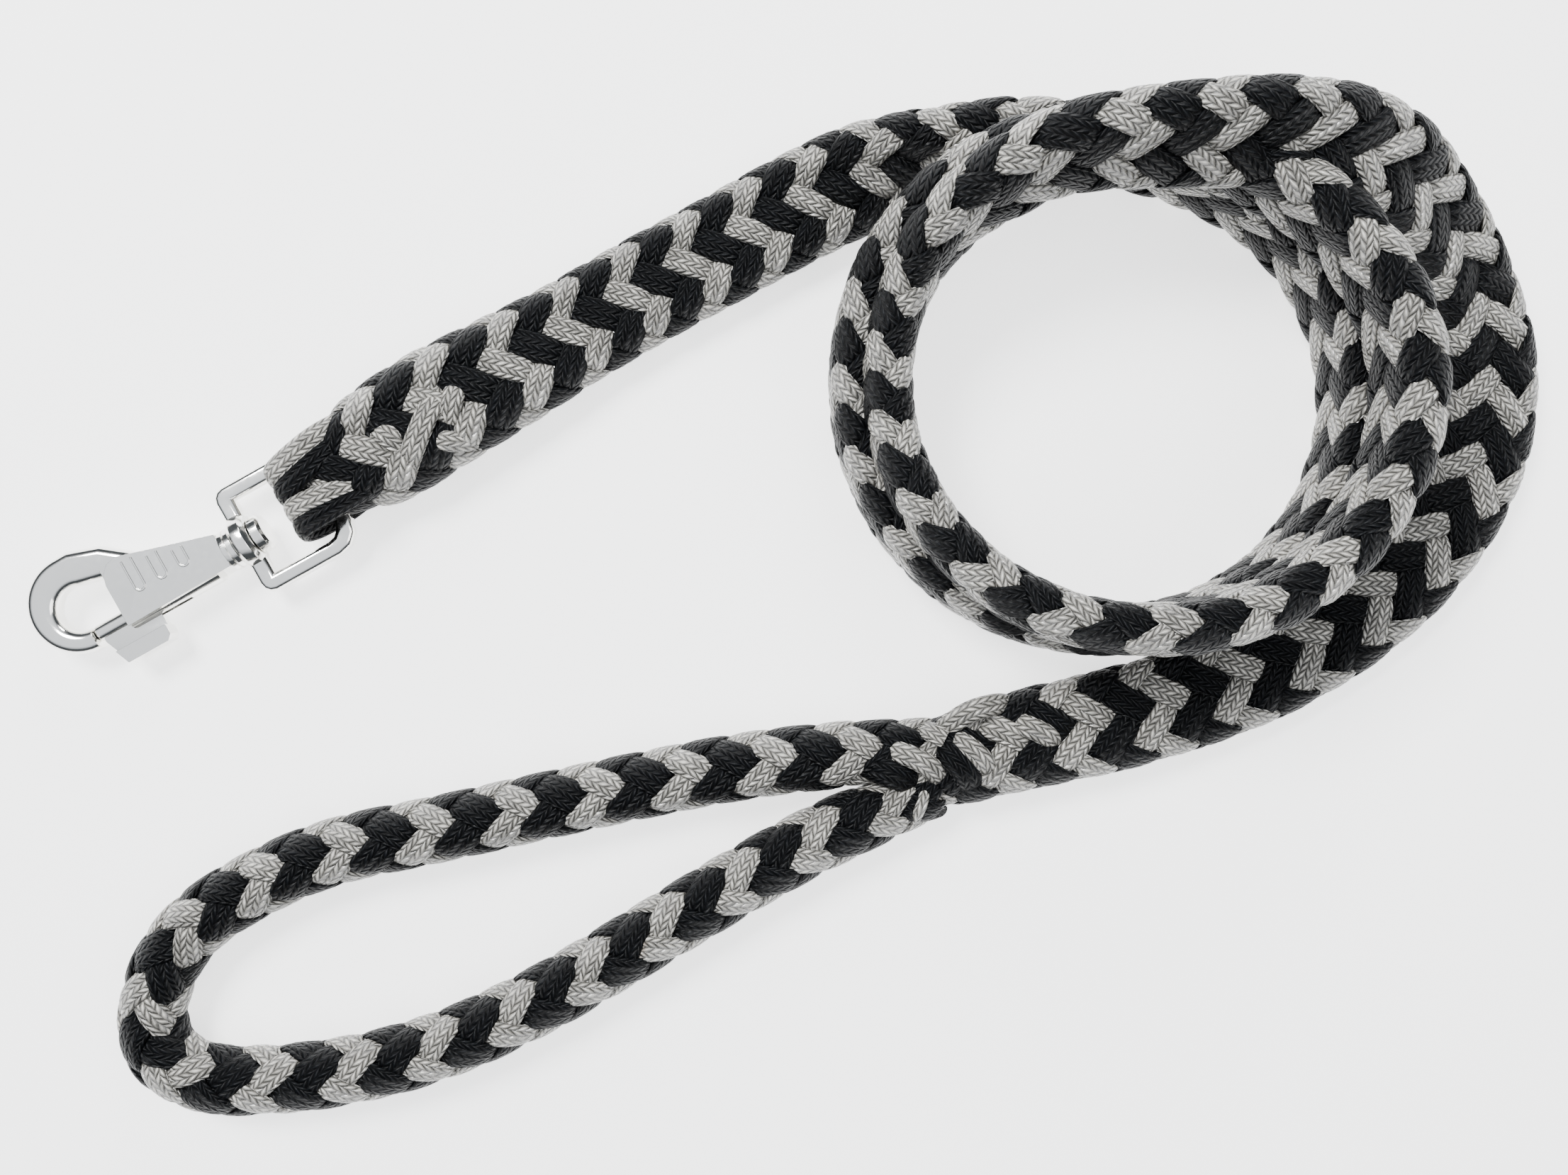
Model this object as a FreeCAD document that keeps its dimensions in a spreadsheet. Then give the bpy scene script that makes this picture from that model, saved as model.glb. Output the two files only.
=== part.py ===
"""Braided lead rope with a swivel snap, millimetres, +Z up.

The snap lies along X with its hook towards -X. The rope leaves its eye towards +X, lies in a
two-turn coil on the floor (z = 0), comes back as a wide outer run and ends in a hand loop.
"""
import FreeCAD, Part
import math
import os
import Sketcher

V = FreeCAD.Vector
doc = FreeCAD.newDocument("lead_rope")
os.makedirs("parts", exist_ok=True)

# ---------------------------------------------------------------- driving dimensions, mm

SIZES = {
    # snap, measured from the collar face on the swivel axis
    "hook_cx": -50.0, "hook_cy": 8.3, "hook_rad": 15.5, "hole_cx": -50.0, "hole_cy": 6.6,
    "hole_rad": 7.0, "arm_thick": 8.4, "arm_round": 2.8, "mouth_x": -38.4, "nose_x": -50.0,
    "crown_flat": 5.0, "shoulder_run": 3.2, "shoulder_rise": 5.8, "root_len": 12.0,
    "root_drop": 1.0, "mouth_slant": 2.6,
    "plate_thick": 10.8, "plate_top": 14.5, "plate_corner": 6.5, "plate_low": 3.4,
    "neck_x": -2.2, "neck_top": 5.8, "neck_low": 5.2,
    "barrel_y": -2.6, "barrel_rad": 4.7, "barrel_len": 31.0,
    "bore_len": 28.9, "slot_len": 19.8, "slot_wide": 3.4, "cut_past": 2.0,
    "collar_rad": 6.6, "collar_gap_rad": 6.1, "collar_end": 1.4, "collar_ring": 1.6,
    "mark_raise": 0.3, "mark_line": 0.55, "mark_rad": 1.9, "mark_pitch": 7.6,
    "mark_first_x": -29.2, "mark_bottom": 3.2, "mark_margin": 1.6,
    # bolt, thumb tab and spring
    "bolt_rad": 2.55, "bolt_len": 21.8, "bolt_bevel": 0.5, "bolt_clear": 0.05, "nose_gap": 0.2,
    "tab_thick": 2.6, "tab_len": 19.2, "tab_start": 1.6, "tab_ridge_y": -10.5, "tab_edge_y": -15.4,
    "tab_slant": 1.8, "tab_sink": 1.0, "ridge_thick": 6.4, "ridge_slant": 2.0, "ridge_cut": 1.5,
    "spring_rad": 2.0, "wire_rad": 0.3, "spring_turns": 9.0,
    # swivel eye
    "eye_start": 1.7, "base_thick": 5.7, "eye_len": 34.3, "eye_half": 18.0, "eye_bar": 5.2,
    "eye_thick": 5.4, "eye_round": 1.8, "eye_near_rad": 4.0, "eye_far_rad": 8.0,
    "eye_inner_rad": 4.5, "boss_rad": 8.5, "boss_bevel": 1.3,
    "shank_rad": 3.25, "shank_clear": 0.05, "head_rad": 5.9, "head_thick": 3.6, "head_gap": 0.3,
    "head_bevel": 0.9,
    # braided rope
    "rope_wide": 32.0, "rope_thick": 15.0, "handle_dia": 20.0,
    "doubled_wide": 38.0, "doubled_thick": 21.0, "doubled_start": 21.0, "eye_slack": 1.0,
    "coil_cx": 278.0, "coil_cy": -92.5, "coil_in": 61.0, "coil_out": 87.0, "coil_shift": 4.0,
    "coil_tall": 64.0, "coil_low": 34.0, "coil_slope_end": 0.2, "coil_turn": 29.0,
}
ARC_STEP = 30

sheet = doc.addObject("Spreadsheet::Sheet", "Size")
for row, (alias, value) in enumerate(SIZES.items(), start=1):
    sheet.set(f"A{row}", alias)
    sheet.set(f"B{row}", str(value))
    sheet.setAlias(f"B{row}", alias)
doc.recompute()


def size(alias):
    """The value that the sheet holds under this alias."""
    return float(getattr(sheet, alias))


# The snap's own box is centred on the frame's origin and stands on the floor.
SNAP_LEFT = size("hook_cx") - size("hook_rad")
SNAP_RIGHT = size("eye_start") + size("eye_len")
SNAP_FRONT = -size("eye_half")
SNAP_BACK = size("hook_cy") + size("hook_rad")
AXIS = V(-(SNAP_LEFT + SNAP_RIGHT) / 2, -(SNAP_FRONT + SNAP_BACK) / 2, size("boss_rad"))
X_AXIS = V(1, 0, 0)
Z_AXIS = V(0, 0, 1)


# ---------------------------------------------------------------- sketch and feature helpers

def new_body(name):
    body = doc.addObject("PartDesign::Body", name)
    body.Label = name
    body.Placement = FreeCAD.Placement(AXIS, FreeCAD.Rotation())
    return body


def new_sketch(body, role, name, lift=None):
    """A sketch on one of the body's own origin planes, lifted along its normal."""
    plane = next(f for f in body.Origin.OriginFeatures if f.Role == role)
    sketch = body.newObject("Sketcher::SketchObject", name)
    sketch.AttachmentSupport = [(plane, "")]
    sketch.MapMode = "FlatFace"
    if lift:
        sketch.setExpression("AttachmentOffset.Base.z", lift)
    return sketch


def place_point(sketch, geometry, vertex, place):
    """Ties a sketch point to two expressions."""
    for kind, expression in zip(("DistanceX", "DistanceY"), place):
        now = evaluate(expression)
        index = sketch.addConstraint(Sketcher.Constraint(kind, -1, 1, geometry, vertex, now))
        sketch.setExpression(f"Constraints[{index}]", expression)


def evaluate(expression):
    return float(sheet.evalExpression(expression.replace("Size.", "")))


def add_polygon(sketch, places):
    """A closed outline through points given as pairs of expressions."""
    points = [V(evaluate(x), evaluate(y), 0) for x, y in places]
    count = len(points)
    for i in range(count):
        sketch.addGeometry(Part.LineSegment(points[i], points[(i + 1) % count]), False)
    for i in range(count):
        sketch.addConstraint(Sketcher.Constraint("Coincident", i, 2, (i + 1) % count, 1))
    for i, place in enumerate(places):
        place_point(sketch, i, 1, place)


def arc_places(x, y, radius, first, last):
    """Points on an arc about (x, y), between two angles in degrees, for an outline."""
    step = ARC_STEP if last > first else -ARC_STEP
    places = []
    for angle in range(first, last + step, step):
        places.append((f"{x} + {radius} * cos({angle})", f"{y} + {radius} * sin({angle})"))
    return places


def add_circle(sketch, place, radius):
    centre = V(evaluate(place[0]), evaluate(place[1]), 0)
    index = sketch.addGeometry(Part.Circle(centre, Z_AXIS, evaluate(radius)), False)
    ring = sketch.addConstraint(Sketcher.Constraint("Radius", index, evaluate(radius)))
    sketch.setExpression(f"Constraints[{ring}]", radius)
    place_point(sketch, index, 3, place)


def pad(body, sketch, name, length, midplane=False, reverse=False):
    feature = body.newObject("PartDesign::Pad", name)
    feature.Profile = sketch
    feature.setExpression("Length", length)
    feature.Midplane = midplane
    feature.Reversed = reverse
    doc.recompute()
    return feature


def pocket(body, sketch, name, length, midplane=False, reverse=False):
    """A cut that has to take something off the body."""
    before = body.Shape.Volume
    feature = body.newObject("PartDesign::Pocket", name)
    feature.Profile = sketch
    feature.setExpression("Length", length)
    feature.Midplane = midplane
    feature.Reversed = reverse
    doc.recompute()
    if body.Shape.Volume > before - 0.01:
        raise RuntimeError(f"{body.Label}: {name} cuts nothing")
    return feature


def revolve(body, sketch, name):
    """A full turn about the body's X axis."""
    axis = next(f for f in body.Origin.OriginFeatures if f.Role == "X_Axis")
    feature = body.newObject("PartDesign::Revolution", name)
    feature.Profile = sketch
    feature.ReferenceAxis = (axis, [""])
    feature.Angle = 360
    doc.recompute()
    return feature


def fillet(body, base, name, edges, radius):
    feature = body.newObject("PartDesign::Fillet", name)
    feature.Base = (base, edges)
    feature.setExpression("Radius", radius)
    doc.recompute()
    return feature


def edges_where(feature, test):
    names = []
    for i, edge in enumerate(feature.Shape.Edges, start=1):
        if test(edge):
            names.append(f"Edge{i}")
    return names


# ---------------------------------------------------------------- hook body

def make_hook_body():
    """The cast body: hook arm, grip plate, bolt barrel, collar and riveted shank in one piece."""
    body = new_body("hook_body")
    disc = new_sketch(body, "XY_Plane", "ArmDisc")
    add_circle(disc, ("Size.hook_cx", "Size.hook_cy"), "Size.hook_rad")
    pad(body, disc, "ArmDiscPad", "Size.arm_thick", midplane=True)

    arm = new_sketch(body, "XY_Plane", "ArmRoot")
    add_polygon(arm, [
        ("Size.hook_cx", "Size.hook_cy + Size.hook_rad"),
        ("Size.hook_cx + Size.crown_flat", "Size.hook_cy + Size.hook_rad"),
        ("Size.mouth_x + Size.shoulder_run", "Size.plate_top + Size.shoulder_rise"),
        ("Size.mouth_x + Size.root_len", "Size.plate_top - Size.root_drop"),
        ("Size.mouth_x + Size.root_len", "0"),
        ("Size.hook_cx", "0"),
    ])
    pad(body, arm, "ArmRootPad", "Size.arm_thick", midplane=True)

    gap = new_sketch(body, "XY_Plane", "HookGap")
    under_hook = "Size.hook_cy - Size.hook_rad - Size.cut_past"
    add_polygon(gap, [
        ("Size.hole_cx", "Size.hole_cy + Size.hole_rad"),
        ("Size.mouth_x", "Size.hole_cy + Size.hole_rad - Size.mouth_slant"),
        ("Size.mouth_x", under_hook),
        ("Size.nose_x", under_hook),
        ("Size.nose_x", "Size.hole_cy - Size.hole_rad"),
    ])
    through_arm = "Size.arm_thick + 2 * Size.cut_past"
    pocket(body, gap, "HookGapCut", through_arm, midplane=True)
    hole = new_sketch(body, "XY_Plane", "HookHole")
    add_circle(hole, ("Size.hole_cx", "Size.hole_cy"), "Size.hole_rad")
    last = pocket(body, hole, "HookHoleCut", through_arm, midplane=True)

    flat = size("arm_thick") / 2
    mouth = size("mouth_x")

    def crowned(edge):
        """Outline edges of the arm's two flat faces, but not its square ends."""
        box = edge.BoundBox
        level = abs(abs(box.ZMin) - flat) < 0.01 and box.ZLength < 0.01
        square_end = box.XLength < 0.01
        in_sight = box.XMin < mouth - 1 or box.YMax > size("plate_top") + 0.5
        return level and in_sight and not square_end

    fillet(body, last, "ArmCrown", edges_where(last, crowned), "Size.arm_round")

    plate = new_sketch(body, "XY_Plane", "GripPlate")
    corner_x = "Size.mouth_x + Size.plate_corner"
    corner_y = "Size.plate_top - Size.plate_corner"
    add_polygon(plate, arc_places(corner_x, corner_y, "Size.plate_corner", 180, 90) + [
        ("Size.neck_x", "Size.neck_top"),
        ("Size.neck_x", "-Size.neck_low"),
        ("Size.mouth_x", "Size.barrel_y - Size.plate_low"),
    ])
    pad(body, plate, "GripPlatePad", "Size.plate_thick", midplane=True)

    barrel = new_sketch(body, "YZ_Plane", "Barrel", "Size.mouth_x")
    add_circle(barrel, ("Size.barrel_y", "0"), "Size.barrel_rad")
    pad(body, barrel, "BarrelPad", "Size.barrel_len")

    turned = new_sketch(body, "XY_Plane", "CollarAndShank")
    head_back = "Size.eye_start + Size.base_thick + Size.head_gap"
    add_polygon(turned, [
        ("Size.neck_x", "0"),
        ("Size.neck_x", "Size.collar_rad"),
        ("Size.neck_x + Size.collar_ring", "Size.collar_rad"),
        ("Size.neck_x + Size.collar_ring", "Size.collar_gap_rad"),
        ("Size.collar_end - Size.collar_ring", "Size.collar_gap_rad"),
        ("Size.collar_end - Size.collar_ring", "Size.collar_rad"),
        ("Size.collar_end", "Size.collar_rad"),
        ("Size.collar_end", "Size.shank_rad"),
        (head_back, "Size.shank_rad"),
        (head_back, "Size.head_rad"),
        (f"{head_back} + Size.head_thick - Size.head_bevel", "Size.head_rad"),
        (f"{head_back} + Size.head_thick", "Size.head_rad - Size.head_bevel"),
        (f"{head_back} + Size.head_thick", "0"),
    ])
    revolve(body, turned, "CollarAndShankTurn")

    bore = new_sketch(body, "YZ_Plane", "BoltBore", "Size.mouth_x")
    add_circle(bore, ("Size.barrel_y", "0"), "Size.bolt_rad + Size.bolt_clear")
    pocket(body, bore, "BoltBoreCut", "Size.bore_len", reverse=True)

    slot = new_sketch(body, "YZ_Plane", "TabSlot", "Size.mouth_x")
    under_barrel = "Size.barrel_y - Size.barrel_rad - Size.cut_past"
    add_polygon(slot, [
        ("Size.barrel_y", "-Size.slot_wide / 2"),
        ("Size.barrel_y", "Size.slot_wide / 2"),
        (under_barrel, "Size.slot_wide / 2"),
        (under_barrel, "-Size.slot_wide / 2"),
    ])
    pocket(body, slot, "TabSlotCut", "Size.slot_len", reverse=True)

    marks = new_sketch(body, "XY_Plane", "GripMarks", "Size.plate_thick / 2")
    for index in range(3):
        add_grip_mark(marks, index)
    pad(body, marks, "GripMarksPad", "Size.mark_raise")
    return body


def add_grip_mark(sketch, index):
    """One raised U outline, open towards the plate's upper edge, shorter towards the neck."""
    centre_x = size("mark_first_x") + index * size("mark_pitch")
    slope_start = size("mouth_x") + size("plate_corner")
    slope = (size("plate_top") - size("neck_top")) / (slope_start - size("neck_x"))
    top = size("plate_top") + slope * (centre_x - slope_start) - size("mark_margin")
    bottom = size("mark_bottom")
    outer = size("mark_rad")
    inner = outer - size("mark_line")
    centre = V(centre_x, bottom, 0)
    first = sketch.GeometryCount
    corners = [
        V(centre_x - outer, bottom, 0), V(centre_x - outer, top, 0),
        V(centre_x - inner, top, 0), V(centre_x - inner, bottom, 0),
        V(centre_x + inner, bottom, 0), V(centre_x + inner, top, 0),
        V(centre_x + outer, top, 0), V(centre_x + outer, bottom, 0),
    ]
    sketch.addGeometry(Part.LineSegment(corners[0], corners[1]), False)
    sketch.addGeometry(Part.LineSegment(corners[1], corners[2]), False)
    sketch.addGeometry(Part.LineSegment(corners[2], corners[3]), False)
    sketch.addGeometry(Part.ArcOfCircle(Part.Circle(centre, Z_AXIS, inner), math.pi, 2 * math.pi), False)
    sketch.addGeometry(Part.LineSegment(corners[4], corners[5]), False)
    sketch.addGeometry(Part.LineSegment(corners[5], corners[6]), False)
    sketch.addGeometry(Part.LineSegment(corners[6], corners[7]), False)
    sketch.addGeometry(Part.ArcOfCircle(Part.Circle(centre, Z_AXIS, outer), math.pi, 2 * math.pi), False)
    sketch.addConstraint(Sketcher.Constraint("Radius", first + 3, inner))
    sketch.addConstraint(Sketcher.Constraint("Radius", first + 7, outer))


# ---------------------------------------------------------------- bolt, tab and spring

def make_bolt():
    """The round sliding bolt, with a bevelled nose that meets the hook's nose."""
    body = new_body("bolt")
    profile = new_sketch(body, "XY_Plane", "BoltProfile")
    start = "Size.nose_x + Size.nose_gap"
    add_polygon(profile, [
        (start, "0"),
        (start, "Size.bolt_rad - Size.bolt_bevel"),
        (f"{start} + Size.bolt_bevel", "Size.bolt_rad"),
        (f"{start} + Size.bolt_len", "Size.bolt_rad"),
        (f"{start} + Size.bolt_len", "0"),
    ])
    revolve(body, profile, "BoltTurn")
    body.Placement = FreeCAD.Placement(AXIS + V(0, size("barrel_y"), 0), FreeCAD.Rotation())
    return body


def make_thumb_tab():
    """The thumb tab: a thin web pressed on the bolt and a thick ridge along its outer edge."""
    body = new_body("thumb_tab")
    web = new_sketch(body, "XY_Plane", "TabWeb")
    start = "Size.nose_x + Size.tab_start"
    inside_bolt = "Size.barrel_y - Size.tab_sink"
    inside_ridge = "Size.tab_ridge_y - Size.tab_sink"
    add_polygon(web, [
        (start, inside_bolt),
        (start, f"{inside_bolt} - Size.bolt_rad"),
        (f"{start} + Size.tab_slant", "Size.tab_ridge_y"),
        (f"{start} + Size.tab_slant", inside_ridge),
        (f"{start} + Size.tab_len", inside_ridge),
        (f"{start} + Size.tab_len", inside_bolt),
    ])
    pad(body, web, "TabWebPad", "Size.tab_thick", midplane=True)
    ridge = new_sketch(body, "XY_Plane", "TabRidge")
    add_polygon(ridge, [
        (f"{start} + Size.tab_slant", "Size.tab_ridge_y"),
        (f"{start} + Size.tab_slant + Size.ridge_slant", "Size.tab_edge_y"),
        (f"{start} + Size.tab_len - Size.ridge_cut", "Size.tab_edge_y"),
        (f"{start} + Size.tab_len", "Size.tab_edge_y + Size.ridge_cut"),
        (f"{start} + Size.tab_len", "Size.tab_ridge_y"),
    ])
    pad(body, ridge, "TabRidgePad", "Size.ridge_thick", midplane=True)
    return body


def make_spring():
    """The compression spring behind the bolt, at its extended length."""
    back = size("nose_x") + size("nose_gap") + size("bolt_len")
    front = size("mouth_x") + size("bore_len")
    wire = size("wire_rad")
    length = front - back - 4 * wire
    radius = size("spring_rad")
    helix = Part.makeHelix(length / size("spring_turns"), length, radius)
    loop = Part.Wire(Part.makeCircle(wire, V(radius, 0, 0), V(0, 1, 0)))
    coil = Part.Wire(helix).makePipeShell([loop], True, True)
    coil.rotate(V(0, 0, 0), V(0, 1, 0), 90)
    coil.translate(AXIS + V(back + 2 * wire, size("barrel_y"), 0))
    return new_feature("bolt_spring", coil)


# ---------------------------------------------------------------- swivel eye

def make_swivel_eye():
    """The cast eye: a round boss that turns on the shank, two arms and the bar in the rope."""
    body = new_body("swivel_eye")
    outer = new_sketch(body, "XY_Plane", "EyeOutline")
    near = "Size.eye_start + Size.eye_near_rad"
    far = "Size.eye_start + Size.eye_len - Size.eye_far_rad"
    right = arc_places(near, "Size.eye_half - Size.eye_near_rad", "Size.eye_near_rad", 180, 90)
    right += arc_places(far, "Size.eye_half - Size.eye_far_rad", "Size.eye_far_rad", 90, 0)
    left = [(x, f"-({y})") for x, y in reversed(right)]
    add_polygon(outer, right + left)
    pad(body, outer, "EyePad", "Size.eye_thick", midplane=True)

    inner = new_sketch(body, "XY_Plane", "EyeOpening")
    inside = "Size.eye_half - Size.eye_bar"
    far = "Size.eye_start + Size.eye_len - Size.eye_bar - Size.eye_inner_rad"
    right = [("Size.eye_start + Size.base_thick", inside)]
    right += arc_places(far, f"{inside} - Size.eye_inner_rad", "Size.eye_inner_rad", 90, 0)
    left = [(x, f"-({y})") for x, y in reversed(right)]
    add_polygon(inner, right + left)
    through_eye = "Size.eye_thick + 2 * Size.cut_past"
    last = pocket(body, inner, "EyeOpeningCut", through_eye, midplane=True)
    flat = size("eye_thick") / 2

    def rim(edge):
        box = edge.BoundBox
        return abs(abs(box.ZMin) - flat) < 0.01 and box.ZLength < 0.01

    fillet(body, last, "EyeRound", edges_where(last, rim), "Size.eye_round")

    boss = new_sketch(body, "XY_Plane", "Boss")
    boss_end = "Size.eye_start + Size.base_thick"
    add_polygon(boss, [
        ("Size.eye_start", "0"),
        ("Size.eye_start", "Size.boss_rad - Size.boss_bevel"),
        ("Size.eye_start + Size.boss_bevel", "Size.boss_rad"),
        (f"{boss_end} - Size.boss_bevel", "Size.boss_rad"),
        (boss_end, "Size.boss_rad - Size.boss_bevel"),
        (boss_end, "0"),
    ])
    revolve(body, boss, "BossTurn")
    bore = new_sketch(body, "YZ_Plane", "ShankBore", "Size.eye_start - Size.cut_past")
    add_circle(bore, ("0", "0"), "Size.shank_rad + Size.shank_clear")
    pocket(body, bore, "ShankBoreCut", "Size.base_thick + 2 * Size.cut_past", reverse=True)
    return body


# ---------------------------------------------------------------- rope

LEAD_POINTS = [
    (137, 7.6, 8.5), (163, 8.4, 8), (189, 7.6, 8), (215, 7.4, 8), (238, 5.6, 8), (259, 0.5, 9),
]
OUTER_POINTS = [
    (292, -24, 62), (319, -36, 64), (343, -50, 62), (365, -71, 48), (378, -94, 26),
    (384, -118, 12), (379, -144, 8.5), (361, -168, 8), (333, -184, 8), (302, -191, 8),
    (270, -191, 8), (243, -186, 9),
]
HANDLE_POINTS = [
    (146, -149.5, 10.5), (121, -138.8, 10.5), (93, -129.3, 10.5), (60, -119, 10.5),
    (26, -109, 10.5), (-6, -100, 10.5), (-36, -97, 10.5), (-62, -98, 10.5), (-81, -110, 10.5),
    (-88, -127, 10.5), (-79, -143, 10.5), (-60, -154, 10.5), (-33, -163, 10.5), (-4, -169, 10.5),
    (28, -171, 10.5), (60, -170, 10.5), (91, -168.6, 10.5), (115, -168.3, 10.5), (138, -169, 10.5),
]
# Where the two legs of the hand loop are worked into the rope: centre, width and thickness.
MERGE_STATIONS = [
    ((243, -186, 9), 32, 15), ((222, -181, 9.5), 33, 17), ((197, -172.5, 10.5), 31, 20),
    ((173, -167, 10.5), 30, 20), ((160, -163.5, 10.5), 32, 20), ((142, -159.3, 10.5), 41, 20),
]
# Along the doubled end from its nose: distance, sideways place and share of its thickness.
DOUBLED_STATIONS = [(0, 0.5, 0.7), (7, 1, 0.95), (16, 2.5, 1), (32, 5, 1), (72, 7, 0.95)]
NOSE_TAPER = 8
SHOULDER = 20


def rounded_path(points, label):
    """Straight runs joined by tangent arcs, each as large as its two runs allow."""
    corners = [V(*p) for p in points]
    edges = []
    radii = []
    start = corners[0]
    for before, corner, after in zip(corners, corners[1:], corners[2:]):
        back = before - corner
        ahead = after - corner
        turn = math.pi - back.getAngle(ahead)
        reach = 0.45 * min(back.Length, ahead.Length)
        radii.append(reach / math.tan(turn / 2))
        back.normalize()
        ahead.normalize()
        arc_start = corner + back * reach
        arc_end = corner + ahead * reach
        middle_way = back + ahead
        middle_way.normalize()
        depth = radii[-1] / math.cos(turn / 2) - radii[-1]
        edges.append(Part.LineSegment(start, arc_start).toShape())
        edges.append(Part.Arc(arc_start, corner + middle_way * depth, arc_end).toShape())
        start = arc_end
    edges.append(Part.LineSegment(start, corners[-1]).toShape())
    print(label, "radii", [round(r) for r in radii])
    return Part.Wire(edges)


def oval_face(centre, along, wide, thick):
    """A stadium, wide sideways and thick upwards, square to a direction."""
    side = Z_AXIS.cross(along)
    side.normalize()
    up = along.cross(side)
    up.normalize()
    half = thick / 2
    straight = (wide - thick) / 2
    corner_a = centre - side * straight + up * half
    corner_b = centre + side * straight + up * half
    corner_c = centre + side * straight - up * half
    corner_d = centre - side * straight - up * half
    end_right = centre + side * (straight + half)
    end_left = centre - side * (straight + half)
    return Part.Wire([
        Part.LineSegment(corner_a, corner_b).toShape(),
        Part.Arc(corner_b, end_right, corner_c).toShape(),
        Part.LineSegment(corner_c, corner_d).toShape(),
        Part.Arc(corner_d, end_left, corner_a).toShape(),
    ])


def sweep(path, profile, area, label):
    """A solid of constant section along a path, with its volume compared."""
    shell = Part.BRepOffsetAPI.MakePipeShell(path)
    shell.setBiNormalMode(Z_AXIS)
    shell.add(profile)
    shell.build()
    shell.makeSolid()
    solid = shell.shape()
    ratio = solid.Volume / (area * path.Length)
    print(label, "length", round(path.Length), "volume ratio", round(ratio, 3))
    return solid


def new_feature(name, shape):
    feature = doc.addObject("Part::Feature", name)
    feature.Label = name
    feature.Shape = shape
    return feature


def make_flat_rope(name, points):
    path = rounded_path(points, name)
    wide = size("rope_wide")
    thick = size("rope_thick")
    along = V(*points[1]) - V(*points[0])
    profile = oval_face(V(*points[0]), along, wide, thick)
    area = (wide - thick) * thick + math.pi * thick ** 2 / 4
    return new_feature(name, sweep(path, profile, area, name))


def make_handle():
    path = rounded_path(HANDLE_POINTS, "handle_loop")
    radius = size("handle_dia") / 2
    start = V(*HANDLE_POINTS[0])
    along = V(*HANDLE_POINTS[1]) - start
    profile = Part.Wire(Part.makeCircle(radius, start, along))
    return new_feature("handle_loop", sweep(path, profile, math.pi * radius ** 2, "handle_loop"))


def loft_between(name, stations):
    """A closed solid lofted through ovals given as centre, width and thickness."""
    along = V(*stations[-1][0]) - V(*stations[0][0])
    wires = []
    for centre, wide, thick in stations:
        wires.append(oval_face(V(*centre), along, wide, thick))
    return new_feature(name, Part.makeLoft(wires, True, True))


def make_doubled_end():
    """The rope end turned back through the eye and worked into the lead."""
    start = AXIS.x + size("doubled_start")
    thick = size("doubled_thick")
    in_eye = 2 * (size("eye_half") - size("eye_bar")) - size("eye_slack")
    stations = []
    for distance, sideways, share in DOUBLED_STATIONS:
        wide = in_eye if distance < SHOULDER else size("doubled_wide")
        if distance == 0:
            wide = in_eye - NOSE_TAPER
        stations.append(((start + distance, sideways, thick / 2), wide, thick * share))
    stations.append((LEAD_POINTS[0], size("rope_wide"), size("rope_thick")))
    return loft_between("doubled_end", stations)


def make_coil():
    """The outer shape of the two stacked turns, lower where they lie side by side."""
    centre = V(size("coil_cx"), size("coil_cy"), 0)
    turn = math.radians(size("coil_turn"))
    lean = V(-size("coil_shift") * math.cos(turn), size("coil_shift") * math.sin(turn), 0)
    tall = size("coil_tall")
    outer = Part.makeCylinder(size("coil_out"), tall, centre + lean)
    inner = Part.makeCylinder(size("coil_in"), tall, centre)
    ring = outer.cut(inner)
    reach = size("coil_out") + 2 * size("coil_shift")
    low = size("coil_low")
    above = tall + reach
    slope_end = reach * size("coil_slope_end")
    steep = (tall - low) / (reach + slope_end)
    wedge = Part.makePolygon([
        V(-reach, -reach, low), V(-reach, -reach, above),
        V((above - low) / steep - reach, -reach, above), V(-reach, -reach, low),
    ])
    slope = Part.Face(wedge).extrude(V(0, 2 * reach, 0))
    slope.rotate(V(0, 0, 0), Z_AXIS, -size("coil_turn"))
    slope.translate(centre)
    return new_feature("rope_coil", ring.cut(slope))


SUB_PARTS = [
    make_hook_body(), make_bolt(), make_thumb_tab(), make_spring(), make_swivel_eye(),
    make_doubled_end(), make_flat_rope("lead_run", LEAD_POINTS), make_coil(),
    make_flat_rope("outer_run", OUTER_POINTS), loft_between("handle_merge", MERGE_STATIONS),
    make_handle(),
]

doc.recompute()
for item in doc.Objects:
    if "Invalid" in item.State or "Error" in item.State:
        raise RuntimeError(f"{item.Label} failed: {item.State}")
for part in SUB_PARTS:
    if part.Shape.isNull() or not part.Shape.isValid():
        raise RuntimeError(f"{part.Label} has no valid shape")
for part in SUB_PARTS:
    box = part.Shape.BoundBox
    corners = [round(c, 1) for c in (box.XMin, box.XMax, box.YMin, box.YMax, box.ZMin, box.ZMax)]
    print(part.Label, "solids", len(part.Shape.Solids), "volume", round(part.Shape.Volume), corners)
    part.Shape.exportStep(f"parts/{part.Label}.step")
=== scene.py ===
"""Looks of a braided lead rope: two-colour flat braid, round hand loop and a plated swivel snap.

The rope lies on the floor (z = 0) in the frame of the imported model, metres, +Z up. Its route starts
in the eye of the snap, runs out as the lead, winds into two stacked turns and ends in the hand loop.
"""
import math

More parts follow.
